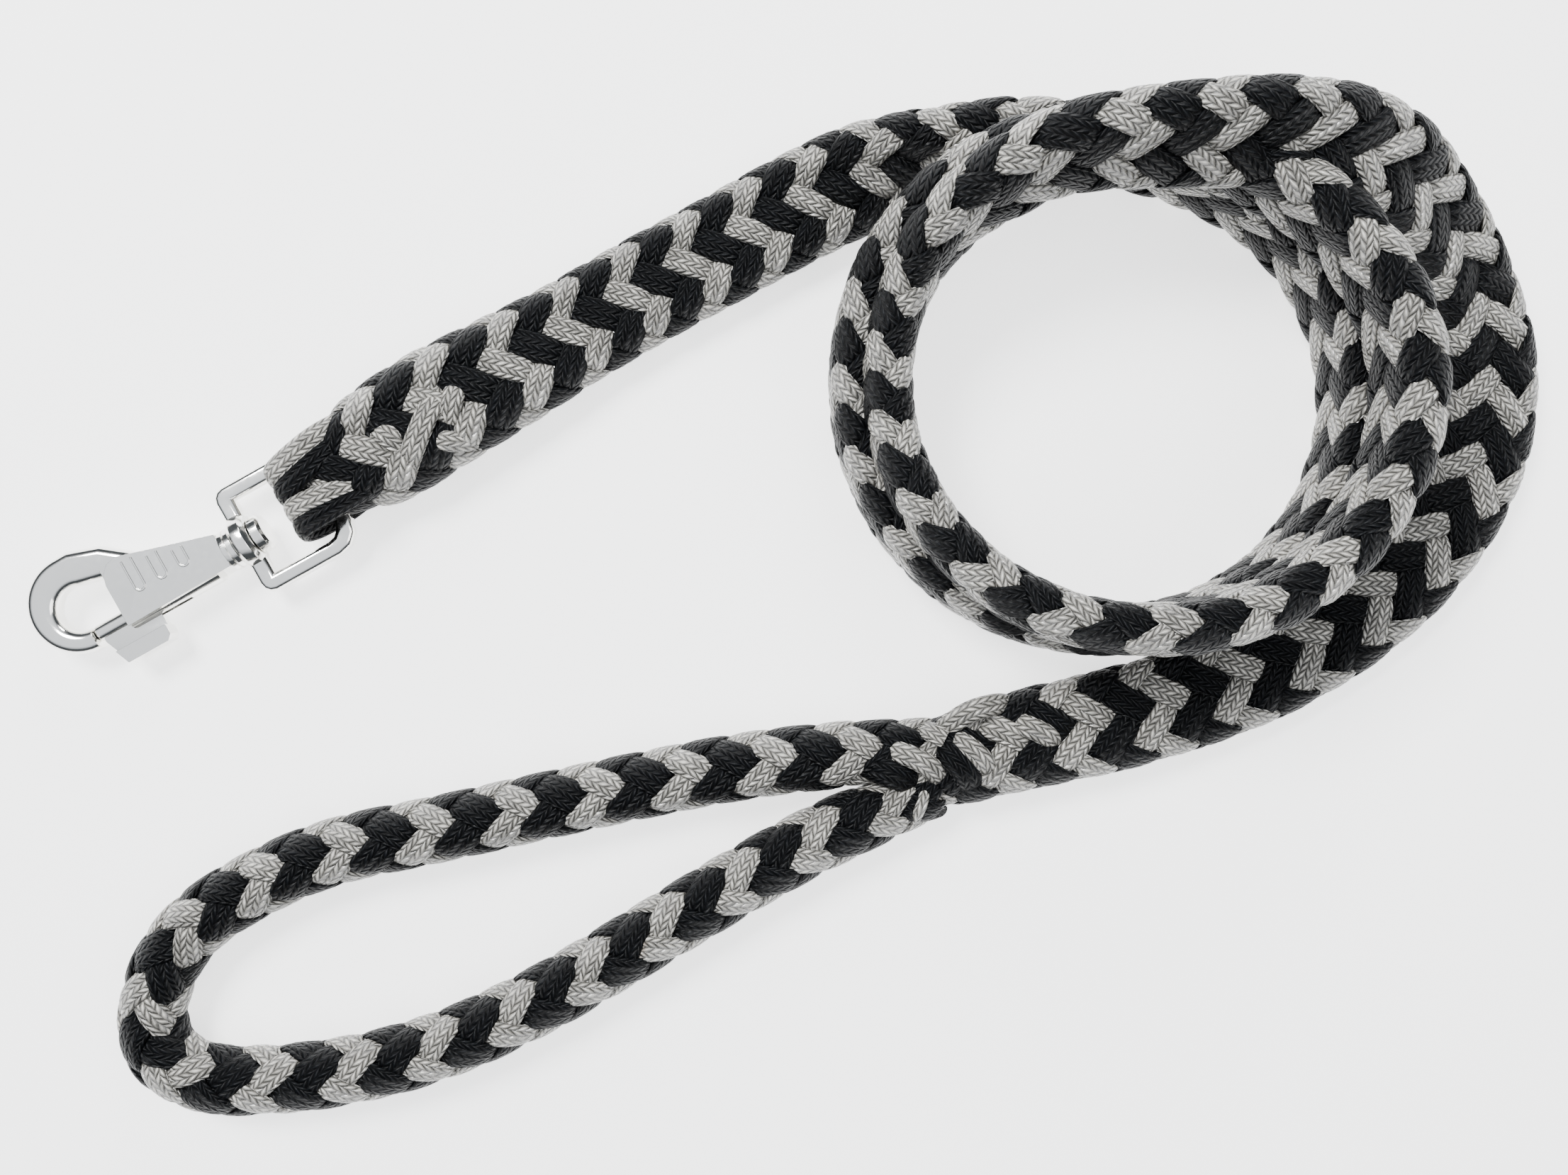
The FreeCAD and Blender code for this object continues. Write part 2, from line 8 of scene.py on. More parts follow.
import bmesh
import bpy
import numpy as np
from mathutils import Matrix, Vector


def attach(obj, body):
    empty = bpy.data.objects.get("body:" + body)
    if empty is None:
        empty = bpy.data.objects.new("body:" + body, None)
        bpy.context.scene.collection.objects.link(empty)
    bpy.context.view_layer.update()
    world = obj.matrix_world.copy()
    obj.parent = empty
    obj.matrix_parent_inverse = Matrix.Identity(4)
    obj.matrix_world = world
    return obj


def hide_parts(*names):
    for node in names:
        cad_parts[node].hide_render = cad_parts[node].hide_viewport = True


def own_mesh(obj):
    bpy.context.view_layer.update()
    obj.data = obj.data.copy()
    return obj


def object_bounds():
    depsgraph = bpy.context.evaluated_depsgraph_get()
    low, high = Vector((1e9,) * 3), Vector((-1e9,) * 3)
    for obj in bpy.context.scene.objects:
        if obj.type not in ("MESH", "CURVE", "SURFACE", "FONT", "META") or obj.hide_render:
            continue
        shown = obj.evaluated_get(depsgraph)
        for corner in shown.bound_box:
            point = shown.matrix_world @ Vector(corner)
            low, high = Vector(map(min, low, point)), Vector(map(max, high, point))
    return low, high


bl_info = {
    "name": "Braided Lead Rope",
    "version": (1, 0, 0),
    "blender": (4, 5, 0),
    "location": "View3D > Sidebar > Lead Rope",
    "description": "Builds a braided lead rope with a swivel snap and a hand loop",
    "category": "Object",
}

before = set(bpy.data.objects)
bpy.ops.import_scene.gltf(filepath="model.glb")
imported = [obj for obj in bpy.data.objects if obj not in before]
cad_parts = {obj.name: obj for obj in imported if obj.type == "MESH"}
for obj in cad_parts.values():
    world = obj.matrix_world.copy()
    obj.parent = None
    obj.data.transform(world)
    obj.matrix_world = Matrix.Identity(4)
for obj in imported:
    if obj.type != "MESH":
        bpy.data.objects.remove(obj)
CAD_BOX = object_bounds()
MM = 0.001


def linear(hex_colour):
    """An sRGB hex colour as three linear values."""
    values = []
    for start in (1, 3, 5):
        value = int(hex_colour[start:start + 2], 16) / 255
        values.append(value / 12.92 if value <= 0.04045 else ((value + 0.055) / 1.055) ** 2.4)
    return tuple(values)


# ---------------------------------------------------------------- routes, metres

NOSE_POINTS = [
    (0.0440, 0.0000, 0.0105), (0.0530, 0.0010, 0.0105), (0.0690, 0.0018, 0.0105),
    (0.0890, 0.0036, 0.0105), (0.1130, 0.0034, 0.0100),
]
LEAD_POINTS = [
    (0.137, 0.0040, 0.0085), (0.163, 0.0046, 0.008), (0.189, 0.0040, 0.008),
    (0.215, 0.0036, 0.0090), (0.238, 0.0016, 0.0115), (0.256, -0.0030, 0.0148),
]
OUTER_POINTS = [
    (0.285, -0.0300, 0.059), (0.3120, -0.0425, 0.060), (0.3375, -0.0550, 0.058),
    (0.3630, -0.0725, 0.047), (0.378, -0.094, 0.026), (0.384, -0.118, 0.012),
    (0.379, -0.144, 0.0085), (0.361, -0.168, 0.008), (0.333, -0.184, 0.008),
    (0.302, -0.191, 0.008), (0.270, -0.191, 0.008), (0.243, -0.186, 0.009),
]
MERGE_POINTS = [
    (0.221, -0.1805, 0.0095), (0.199, -0.1735, 0.0100), (0.178, -0.1685, 0.0105),
    (0.160, -0.1640, 0.0105),
]
HANDLE_POINTS = [
    (0.176, -0.1620, 0.0105), (0.146, -0.1495, 0.0105), (0.121, -0.1388, 0.0105),
    (0.093, -0.1293, 0.0105), (0.060, -0.1190, 0.0105), (0.026, -0.1088, 0.0105),
    (-0.005, -0.0985, 0.0105), (-0.033, -0.0960, 0.0105), (-0.0562, -0.0982, 0.0105),
    (-0.0748, -0.1110, 0.0105), (-0.0812, -0.1268, 0.0105), (-0.0730, -0.1410, 0.0105),
    (-0.0568, -0.1505, 0.0105), (-0.0325, -0.1608, 0.0105), (-0.004, -0.1682, 0.0105),
    (0.028, -0.1706, 0.0105), (0.060, -0.1698, 0.0105), (0.091, -0.1686, 0.0105),
    (0.115, -0.1683, 0.0105), (0.138, -0.1690, 0.0105), (0.166, -0.1735, 0.0105),
]

# Rope's roll about its own line in degrees: 0 lies flat, 90 stands on its edge.
LEAD_ROLLS = [0, 0, 0, 5, 25, 55]
OUTER_ROLLS = [70, 57, 42, 15, -5, -12, -5, 0, 0, 0, 0, 0]

# The coil's centre, and in degrees the direction from it to where the lead comes in, the first and
# last angle turned from there, and the step between its points.
COIL_CENTRE = (0.2730, -0.0955)
COIL_HEADING = 99.7
COIL_FIRST = 20
COIL_LAST = 725
COIL_STEP = 15
# The coil's turns: angle turned from where the lead comes in, radius and height in mm, and roll.
COIL_KEYS = [
    (0, 97, 16, 62), (20, 84, 16, 74), (40, 73, 16, 88), (60, 71, 16, 90), (129, 71.5, 16, 90),
    (219, 71, 16, 90), (309, 81, 16, 90), (335, 82.6, 24, 90), (346, 81, 30, 90),
    (356, 80, 36, 90), (379, 75, 38, 90), (399, 71, 40, 90), (421, 68.5, 44, 90), (444, 69, 48, 90),
    (489, 75, 48, 90), (579, 70, 48, 90), (630, 70.5, 34, 90), (669, 71.5, 24, 90),
    (698, 72.5, 34, 86), (711, 71.5, 46, 80), (720, 69.6, 50, 76), (731, 67, 55, 72),
]

# Cords that fold round the eye's far bar: shade, width, place across the rope, and how far the cord
# slants across it for each unit of the share in FOLD_ROUTE.
NOSE_FOLDS = [
    ("light", 0.0078, 0.0092, 0.0026), ("dark", 0.0078, 0.0032, 0.0034),
    ("light", 0.0078, -0.0030, -0.0026), ("dark", 0.0078, -0.0088, 0.0),
]
# The fold from the rope's top round the bar to its underside: x, share of the slant, z.
FOLD_ROUTE = [
    (0.0640, 1.8, 0.0160), (0.0560, 1.2, 0.0196), (0.0460, 0.5, 0.0192), (0.0378, 0, 0.0170),
    (0.0352, 0, 0.0105), (0.0378, 0, 0.0040), (0.0460, -0.5, 0.0022), (0.0560, -1.2, 0.0030),
]
# Short cords that show where an end is worked back in: shade, width, and the route over the top.
END_TUCKS = [
    ("light", 0.0074, [(0.0975, 0.0075, 0.0150), (0.0926, 0.0046, 0.0200), (0.0845, -0.0020, 0.0222),
                       (0.0760, -0.0086, 0.0200), (0.0720, -0.0110, 0.0140)]),
    ("light", 0.0078, [(0.0700, 0.0085, 0.0150), (0.0730, 0.0052, 0.0200), (0.0770, -0.0020, 0.0207),
                       (0.0800, -0.0060, 0.0150)]),
    ("light", 0.0068, [(0.1030, 0.0080, 0.0140), (0.0996, 0.0046, 0.0190), (0.0950, -0.0010, 0.0212),
                       (0.0900, -0.0060, 0.0150)]),
    ("light", 0.0066, [(0.0830, -0.0020, 0.0150), (0.0865, -0.0060, 0.0200), (0.0925, -0.0105, 0.0195),
                       (0.0965, -0.0118, 0.0140)]),
]
SPLICE_TUCKS = [
    ("light", 0.0068, [(0.1760, -0.1580, 0.0120), (0.1800, -0.1568, 0.0185), (0.1870, -0.1560, 0.0205),
                       (0.1945, -0.1580, 0.0198), (0.1990, -0.1605, 0.0130)]),
    ("light", 0.0066, [(0.1775, -0.1600, 0.0130), (0.1800, -0.1625, 0.0200), (0.1830, -0.1690, 0.0214),
                       (0.1830, -0.1745, 0.0190), (0.1810, -0.1775, 0.0125)]),
    ("dark", 0.0084, [(0.1725, -0.1600, 0.0130), (0.1750, -0.1640, 0.0200), (0.1770, -0.1705, 0.0209),
                      (0.1765, -0.1765, 0.0180), (0.1750, -0.1790, 0.0110)]),
    ("light", 0.0068, [(0.1570, -0.1530, 0.0130), (0.1615, -0.1555, 0.0195), (0.1670, -0.1620, 0.0206),
                       (0.1695, -0.1685, 0.0190), (0.1690, -0.1730, 0.0120)]),
    ("dark", 0.0080, [(0.1500, -0.1555, 0.0130), (0.1540, -0.1575, 0.0195), (0.1595, -0.1640, 0.0200),
                      (0.1620, -0.1700, 0.0130)]),
    ("light", 0.0068, [(0.1955, -0.1640, 0.0130), (0.1985, -0.1670, 0.0192), (0.2035, -0.1735, 0.0196),
                       (0.2050, -0.1780, 0.0165), (0.2045, -0.1805, 0.0110)]),
    ("light", 0.0036, [(0.1650, -0.1700, 0.0150), (0.1615, -0.1730, 0.0192), (0.1575, -0.1762, 0.0180),
                       (0.1555, -0.1785, 0.0120)]),
]

# ---------------------------------------------------------------- braid rules

# Cords that run each way round the flat rope and round the hand loop. A column is the strip of the
# rope's outline that belongs to one of them.
MAIN_COLUMNS = 8
HANDLE_COLUMNS = 6
# A cord's way round the rope for each unit along it, and the braid's shift round the rope in columns.
LEAD_TILT, LEAD_SLIP = 1.0, 0.0
COIL_TILT, COIL_SLIP = 0.82, 0.5
# A cord's width as a share of its column, which grows by CREST_GROWTH on top and shrinks by as much
# at the bottom of a dive.
COVER = {"light": 0.98, "dark": 1.16}
CREST_GROWTH = 0.05
# How suddenly a cord goes from over to under, and the column that the first cord starts in.
DIVE_SHARPNESS = 2.0
FIRST_TURN = 0.25
# Hand-made unevenness: columns that a cord sways by, metres of one sway, and radians between cords.
SWAY = 0.03
SWAY_LENGTH = 0.083
SWAY_STEP = 2.1
# The lead lies a little wider than the rope's usual width.
LEAD_EXTRA = 0.0015
# Widths and thicknesses at the route's points. None stands for the doubled rope's own size.
NOSE_WIDES = [0.0255, 0.0255, 0.0375, None, 0.0360]
NOSE_THICKS = [0.0185, 0.0200, None, None, 0.0185]
MERGE_WIDES = [0.032, 0.031, 0.029, 0.022]
MERGE_THICKS = [0.017, 0.019, 0.018, 0.012]
# The rope closes over this length at the eye, by these shares of its squared thickness and width.
NOSE_LENGTH = 0.007
NOSE_CLOSE_THICK = 0.94
NOSE_CLOSE_WIDE = 0.50
# The hand loop's width at its two ends, and its thickness, as shares: a hair off round.
LOOP_END = 0.8
LOOP_ROUND = 0.999
# The share of its width that a tucked cord loses at its ends.
TUCK_NARROWING = 0.35

# Metres: between the points of a line, of smoothing for sizes and for direction, and of search.
RING_STEP = 0.00125
SIZE_BLEND = 0.012
DIRECTION_BLEND = 0.006
SEARCH_REACH = 0.07
CORD_SIDES = 12
UP = np.array([0.0, 0.0, 1.0])
ACROSS = np.array([0.0, 1.0, 0.0])

# ---------------------------------------------------------------- patterns

# A yarn of the cord's own fine braid: its length and width in metres.
YARN_LONG = 0.0027
YARN_WIDE = 0.0016
# Patches a millimetre.
FUZZ_PER_MM = 1.4       # loose fibres, 0.7 mm
DRIFT_PER_MM = 0.09     # slow change of tone along a cord, 11 mm
RIPPLE_PER_MM = 0.12    # what the mould leaves under the plating, 8 mm
HAZE_PER_MM = 0.7       # handling haze on the plating, 1.4 mm
DIE_PER_MM = 2.2        # lines from the wire's drawing die, 0.5 mm
# How deep the yarns and the casting's ripple look, in metres, and the ripple's strength.
YARN_DEPTH = 0.0008
RIPPLE_DEPTH = 0.0006
RIPPLE_STRENGTH = 0.12
# A yarn's slant to either side, in yarn lengths across a column, and how rounded a column's back is:
# the share of a half wave that it covers, and a power below 1 that makes it fuller.
YARN_LEAN = 0.75
COLUMN_BOW = 0.92
COLUMN_FULLNESS = 0.7
# A power below 1 that makes the painted shade in the gaps between yarns narrower.
GAP_SOFTNESS = 0.9
# What the fuzz adds to a yarn's height and to its roughness.
FUZZ_HEIGHT = 0.22
FUZZ_ROUGHNESS = 0.16
# A yarn's tone as shares of the cord's colour: the least, and what chance and place add to it.
LEAST_TONE = 0.35
CHANCE_TONE = 0.75
PLACE_TONE = 0.50
# Roughness: how far the plating's haze spreads it, the wire's least, and what the die's lines add.
HAZE = 0.12
WIRE_SMOOTHEST = 0.22
DIE_ROUGHNESS = 0.25
# A small worn spot on the hand loop.
STAIN_PLACE = (0.0632, -0.1676, 0.019)
STAIN_RADIUS = 0.006

# ---------------------------------------------------------------- casting rules

# Degrees: an edge sharper than CREASE is rounded, and faces flatter than FLAT are joined.
CREASE = 32
FLAT = 0.4
WELD = 1e-6
EDGE_SEGMENTS = 3

# ---------------------------------------------------------------- stage rules

FLOOR_HALF = 3.0
FLOOR_DROP = 0.0004
FLOOR_GLOW = 1.9
CAMERA_X, CAMERA_Y = 0.15637, -0.09642
LENS = 32.11
SENSOR = 36.0
# Soft lamps: name, place, size in metres, watts.
LAMPS = (
    ("key", (-0.10, 0.80, 1.30), 0.55, 42.0),
    ("fill", (0.9, -0.7, 1.1), 1.0, 10.0),
    ("back", (0.9, 0.9, 0.6), 0.4, 8.0),
)
# A dome that is dark low down and bright overhead, for the plating to mirror: height on a dome that
# is 1 high, and colour.
ROOM = ((0.50, (0.05, 0.055, 0.06, 1.0)), (0.82, (0.90, 0.94, 1.0, 1.0)))
ROOM_LIGHT = 1.35


class RopeSettings(bpy.types.PropertyGroup):
    wide: bpy.props.FloatProperty(
        name="Rope width", description="Width of the flat braid", default=0.032,
        unit="LENGTH", precision=4)
    thick: bpy.props.FloatProperty(
        name="Rope thickness", description="Thickness of the flat braid", default=0.015,
        unit="LENGTH", precision=4)
    doubled_wide: bpy.props.FloatProperty(
        name="Doubled width", description="Width where the end is worked back into the rope",
        default=0.038, unit="LENGTH", precision=4)
    doubled_thick: bpy.props.FloatProperty(
        name="Doubled thickness", description="Thickness where the end is worked back in",
        default=0.021, unit="LENGTH", precision=4)
    handle_dia: bpy.props.FloatProperty(
        name="Hand loop diameter", description="Diameter of the round braid of the hand loop",
        default=0.0206, unit="LENGTH", precision=4)
    cord_thick: bpy.props.FloatProperty(
        name="Cord thickness", description="Thickness of one cord of the braid", default=0.0033,
        unit="LENGTH", precision=5)
    light_colour: bpy.props.FloatVectorProperty(
        name="Light cords", description="Colour of the silver grey cords", subtype="COLOR",
        size=3, min=0, max=1, default=linear("#B9B6AE"))
    dark_colour: bpy.props.FloatVectorProperty(
        name="Dark cords", description="Colour of the black cords", subtype="COLOR",
        size=3, min=0, max=1, default=linear("#090B0E"))
    stain_colour: bpy.props.FloatVectorProperty(
        name="Stain", description="Colour of a small worn spot on the hand loop", subtype="COLOR",
        size=3, min=0, max=1, default=linear("#A78C6C"))


class SnapSettings(bpy.types.PropertyGroup):
    plating_colour: bpy.props.FloatVectorProperty(
        name="Plating", description="Colour of the bright plating", subtype="COLOR",
        size=3, min=0, max=1, default=linear("#F4F3EF"))
    plating_roughness: bpy.props.FloatProperty(
        name="Plating roughness", description="Roughness of the bright plating", default=0.13,
        min=0, max=1, subtype="FACTOR")
    edge_round: bpy.props.FloatProperty(
        name="Edge rounding", description="Radius of the casting's edges", default=0.00013,
        unit="LENGTH", precision=5)


class StageSettings(bpy.types.PropertyGroup):
    floor_colour: bpy.props.FloatVectorProperty(
        name="Floor", description="Colour of the plain floor", subtype="COLOR",
        size=3, min=0, max=1, default=linear("#F2F2F1"))
    camera_height: bpy.props.FloatProperty(
        name="Camera height", description="Height of the camera above the floor", default=0.440,
        unit="LENGTH", precision=3)
    camera_turn: bpy.props.FloatProperty(
        name="Camera turn", description="Turn of the camera about the vertical",
        default=math.radians(-29.3), subtype="ANGLE")


# ---------------------------------------------------------------- nodes

def add(tree, kind, inputs=None, **settings):
    """Adds a node, sets its properties, and gives each named input a value or a link."""
    made = tree.nodes.new(kind)
    for key, value in settings.items():
        setattr(made, key, value)
    for key, value in (inputs or {}).items():
        if isinstance(value, bpy.types.NodeSocket):
            tree.links.new(value, made.inputs[key])
        else:
            made.inputs[key].default_value = value
    return made


def cord_tree():
    """Geometry Nodes that sweep a cord's flattened section along a line with its own normals."""
    tree = bpy.data.node_groups.new("Cord along a line", "GeometryNodeTree")
    face = tree.interface
    for name, kind in (("Line", "Geometry"), ("Cord width", "Float"), ("Cord thickness", "Float"),
                       ("Sides", "Int"), ("Finish", "Material")):
        face.new_socket(name, in_out="INPUT", socket_type="NodeSocket" + kind)
    face.new_socket("Cord", in_out="OUTPUT", socket_type="NodeSocketGeometry")
    given = add(tree, "NodeGroupInput").outputs

    outward = add(tree, "GeometryNodeInputNamedAttribute", {"Name": "outward"},
                  data_type="FLOAT_VECTOR")
    girth = add(tree, "GeometryNodeInputNamedAttribute", {"Name": "girth"}, data_type="FLOAT")
    line = add(tree, "GeometryNodeMeshToCurve", {"Mesh": given["Line"]}).outputs["Curve"]
    line = add(tree, "GeometryNodeSetCurveNormal",
               {"Curve": line, "Normal": outward.outputs["Attribute"]}, mode="FREE").outputs["Curve"]
    along = add(tree, "GeometryNodeSplineParameter").outputs["Length"]
    line = add(tree, "GeometryNodeStoreNamedAttribute",
               {"Geometry": line, "Name": "along", "Value": along},
               data_type="FLOAT", domain="POINT").outputs["Geometry"]

    ring = add(tree, "GeometryNodeCurvePrimitiveCircle",
               {"Resolution": given["Sides"], "Radius": 0.5}, mode="RADIUS").outputs["Curve"]
    shape = add(tree, "ShaderNodeCombineXYZ",
                {"X": given["Cord thickness"], "Y": given["Cord width"], "Z": 1.0}).outputs["Vector"]
    # Half a turn puts the ring's seam, where its pattern starts over, on the cord's hidden side.
    ring = add(tree, "GeometryNodeTransform",
               {"Geometry": ring, "Rotation": (0.0, 0.0, math.pi), "Scale": shape}).outputs["Geometry"]
    around = add(tree, "GeometryNodeSplineParameter").outputs["Length"]
    ring = add(tree, "GeometryNodeStoreNamedAttribute",
               {"Geometry": ring, "Name": "around", "Value": around},
               data_type="FLOAT", domain="POINT").outputs["Geometry"]

    skin = add(tree, "GeometryNodeCurveToMesh",
               {"Curve": line, "Profile Curve": ring, "Scale": girth.outputs["Attribute"],
                "Fill Caps": True}).outputs["Mesh"]
    skin = add(tree, "GeometryNodeSetShadeSmooth", {"Geometry": skin}).outputs["Geometry"]
    skin = add(tree, "GeometryNodeRealizeInstances", {"Geometry": skin}).outputs["Geometry"]
    skin = add(tree, "GeometryNodeSetMaterial",
               {"Geometry": skin, "Material": given["Finish"]}).outputs["Geometry"]
    add(tree, "NodeGroupOutput", {"Cord": skin})
    return tree


def applied(name, mesh, tree, values):
    """A plain mesh object with a node tree's result, made with the given input values."""
    source = bpy.data.objects.new(name + "_source", mesh)
    bpy.context.scene.collection.objects.link(source)
    modifier = source.modifiers.new("Nodes", "NODES")
    modifier.node_group = tree
    for item in tree.interface.items_tree:
        if item.in_out == "INPUT" and item.name in values:
            modifier[item.identifier] = values[item.name]
    bpy.context.view_layer.update()
    graph = bpy.context.evaluated_depsgraph_get()
    result = bpy.data.meshes.new_from_object(
        source.evaluated_get(graph), preserve_all_data_layers=True, depsgraph=graph)
    bpy.data.objects.remove(source)
    bpy.data.meshes.remove(mesh)
    result.name = name
    piece = bpy.data.objects.new(name, result)
    bpy.context.scene.collection.objects.link(piece)
    return piece


# ---------------------------------------------------------------- materials

def new_material(name):
    """A material with a shader on its output: the material, its tree and the shader."""
    material = bpy.data.materials.new(name)
    material.use_nodes = True
    tree = material.node_tree
    tree.nodes.clear()
    shader = add(tree, "ShaderNodeBsdfPrincipled")
    add(tree, "ShaderNodeOutputMaterial", {"Surface": shader.outputs["BSDF"]})
    return material, tree, shader


# The pattern of one cord's fine braid, one sum a row: its name, the operation and the two values that
# it takes. Yarns lie in columns along the cord. Each yarn slants, the columns slant in turn to either
# side and are half a yarn out of step, and the surface sinks between the yarns, where shade is also
# painted into the colour.
YARN_STEPS = (
    ("row", "DIVIDE", "along", YARN_LONG),
    ("across", "DIVIDE", "around", YARN_WIDE),
    ("column", "FLOOR", "across", 0.0),
    ("part", "FRACT", "across", 0.0),
    ("inside", "SUBTRACT", "part", 0.5),
    ("odd", "MODULO", "column", 2.0),
    ("swing", "MULTIPLY", "odd", 2 * YARN_LEAN),
    ("lean", "SUBTRACT", "swing", YARN_LEAN),
    ("slant", "MULTIPLY", "inside", "lean"),
    ("stagger", "MULTIPLY", "column", 0.5),
    ("leaning", "ADD", "row", "slant"),
    ("phase", "ADD", "leaning", "stagger"),
    ("cell", "FLOOR", "phase", 0.0),
    ("turn", "MULTIPLY", "phase", math.pi),
    ("wave", "SINE", "turn", 0.0),
    ("crest", "ABSOLUTE", "wave", 0.0),
    ("bow", "MULTIPLY", "inside", COLUMN_BOW * math.pi),
    ("round", "COSINE", "bow", 0.0),
    ("hump", "POWER", "round", COLUMN_FULLNESS),
    ("yarn", "MULTIPLY", "crest", "hump"),
    # The mask of the painted shade: 1 on a yarn's top, falling to 0 in the gaps where the colour is
    # painted darker.
    ("unshaded", "POWER", "yarn", GAP_SOFTNESS),
    ("fuzz", "MULTIPLY", "hair", FUZZ_HEIGHT),
    ("height", "ADD", "yarn", "fuzz"),
    ("grain", "MULTIPLY", "hair", FUZZ_ROUGHNESS),
    ("roughness", "ADD", "grain", "smoothest"),
    ("far", "DIVIDE", "apart", "spot_size"),
    ("near", "MINIMUM", "far", 1.0),
    ("spot", "SUBTRACT", 1.0, "near"),
)
# A yarn's tone: part of it by chance, part by its place.
TONE_STEPS = (
    ("by_yarn", "MULTIPLY", "chance", CHANCE_TONE),
    ("by_place", "MULTIPLY", "drift", PLACE_TONE),
    ("both", "ADD", "by_yarn", "by_place"),
    ("tone", "ADD", "both", LEAST_TONE),
)


def braided_polypropylene(name, colour, painted_gap_shade, roughness, sheen, gloss, stain=None):
    """Cord of fine braided polypropylene yarn: slanted silky yarns in columns, with painted shade
    between them.

    The plastic is coloured right through and its filaments are smooth, so each yarn has a soft gleam
    of its own. The gaps between yarns and between columns are painted darker as shade. The stain is a
    colour, a place and a radius.
    """
    material, tree, shader = new_material(name)
    spot_colour, spot_place, spot_size = stain or (colour, (0.0, 0.0, 0.0), 1.0)
    place = add(tree, "ShaderNodeTexCoord").outputs["Object"]
    known = {
        "along": add(tree, "ShaderNodeAttribute", attribute_name="along").outputs["Fac"],
        "around": add(tree, "ShaderNodeAttribute", attribute_name="around").outputs["Fac"],
        "hair": add(tree, "ShaderNodeTexNoise",
                    {"Vector": place, "Scale": FUZZ_PER_MM / MM, "Detail": 2.0}).outputs["Fac"],
        "drift": add(tree, "ShaderNodeTexNoise",
                     {"Vector": place, "Scale": DRIFT_PER_MM / MM, "Detail": 2.0}).outputs["Fac"],
        "apart": add(tree, "ShaderNodeVectorMath", {0: place, 1: spot_place},
                     operation="DISTANCE").outputs["Value"],
        "spot_size": spot_size, "smoothest": roughness - FUZZ_ROUGHNESS / 2,
    }
    for made, operation, first, second in YARN_STEPS:
        values = {0: known.get(first, first), 1: known.get(second, second)}
        known[made] = add(tree, "ShaderNodeMath", values, operation=operation).outputs[0]
    yarn_cell = add(tree, "ShaderNodeCombineXYZ", {"X": known["cell"], "Y": known["column"], "Z": 0.0})
    known["chance"] = add(tree, "ShaderNodeTexWhiteNoise", {"Vector": yarn_cell.outputs["Vector"]},
                          noise_dimensions="3D").outputs["Value"]
    for made, operation, first, second in TONE_STEPS:
        values = {0: known.get(first, first), 1: known.get(second, second)}
        known[made] = add(tree, "ShaderNodeMath", values, operation=operation).outputs[0]
    base = add(tree, "ShaderNodeMix", {"Factor": 1.0, 6: (*colour, 1.0), 7: known["tone"]},
               data_type="RGBA", blend_type="MULTIPLY").outputs[2]
    if stain is not None:
        base = add(tree, "ShaderNodeMix", {"Factor": known["spot"], 6: base, 7: (*spot_colour, 1.0)},
                   data_type="RGBA").outputs[2]
    # Painted shade: in the gaps between yarns and columns the colour is mixed towards a darker copy of
    # it.
    dark = tuple(value * painted_gap_shade for value in colour)
    base = add(tree, "ShaderNodeMix", {"Factor": known["unshaded"], 6: (*dark, 1.0), 7: base},
               data_type="RGBA").outputs[2]
    bump = add(tree, "ShaderNodeBump",
               {"Height": known["height"], "Strength": 1.0, "Distance": YARN_DEPTH})
    tree.links.new(base, shader.inputs["Base Color"])
    tree.links.new(bump.outputs["Normal"], shader.inputs["Normal"])
    tree.links.new(known["roughness"], shader.inputs["Roughness"])
    shader.inputs["Sheen Weight"].default_value = sheen
    shader.inputs["Sheen Roughness"].default_value = 0.45
    shader.inputs["Specular IOR Level"].default_value = gloss
    return material


def plated_casting(colour, roughness):
    """Bright nickel-chrome plating on a polished zinc die casting.

    It mirrors the room, dark and light in turn, over a faint ripple that the casting leaves in flat
    faces, and handling has left a slight haze.
    """
    material, tree, shader = new_material("Plated zinc casting, bright")
    place = add(tree, "ShaderNodeTexCoord").outputs["Object"]
    ripple = add(tree, "ShaderNodeTexNoise",
                 {"Vector": place, "Scale": RIPPLE_PER_MM / MM, "Detail": 2.0}).outputs["Fac"]
    haze = add(tree, "ShaderNodeTexNoise",
               {"Vector": place, "Scale": HAZE_PER_MM / MM, "Detail": 4.0}).outputs["Fac"]
    bump = add(tree, "ShaderNodeBump",
               {"Height": ripple, "Strength": RIPPLE_STRENGTH, "Distance": RIPPLE_DEPTH})
    tree.links.new(bump.outputs["Normal"], shader.inputs["Normal"])
    spread = add(tree, "ShaderNodeMath", {0: haze, 1: HAZE}, operation="MULTIPLY").outputs[0]
    rough = add(tree, "ShaderNodeMath", {0: spread, 1: roughness - HAZE / 2},
                operation="ADD").outputs[0]
    tree.links.new(rough, shader.inputs["Roughness"])
    shader.inputs["Base Color"].default_value = (*colour, 1.0)
    shader.inputs["Metallic"].default_value = 1.0
    return material


def drawn_spring_wire():
    """Spring steel wire, drawn through a die and left bare: greyer than the plating, finely lined."""
    material, tree, shader = new_material("Spring steel wire, drawn")
    place = add(tree, "ShaderNodeTexCoord").outputs["Object"]
    lines = add(tree, "ShaderNodeTexNoise",
                {"Vector": place, "Scale": DIE_PER_MM / MM, "Detail": 2.0}).outputs["Fac"]
    rough = add(tree, "ShaderNodeMath", {0: lines, 1: DIE_ROUGHNESS}, operation="MULTIPLY").outputs[0]
    rough = add(tree, "ShaderNodeMath", {0: rough, 1: WIRE_SMOOTHEST}, operation="ADD").outputs[0]
    tree.links.new(rough, shader.inputs["Roughness"])
    shader.inputs["Base Color"].default_value = (*linear("#8E8E8C"), 1.0)
    shader.inputs["Metallic"].default_value = 1.0
    return material


# ---------------------------------------------------------------- cord paths

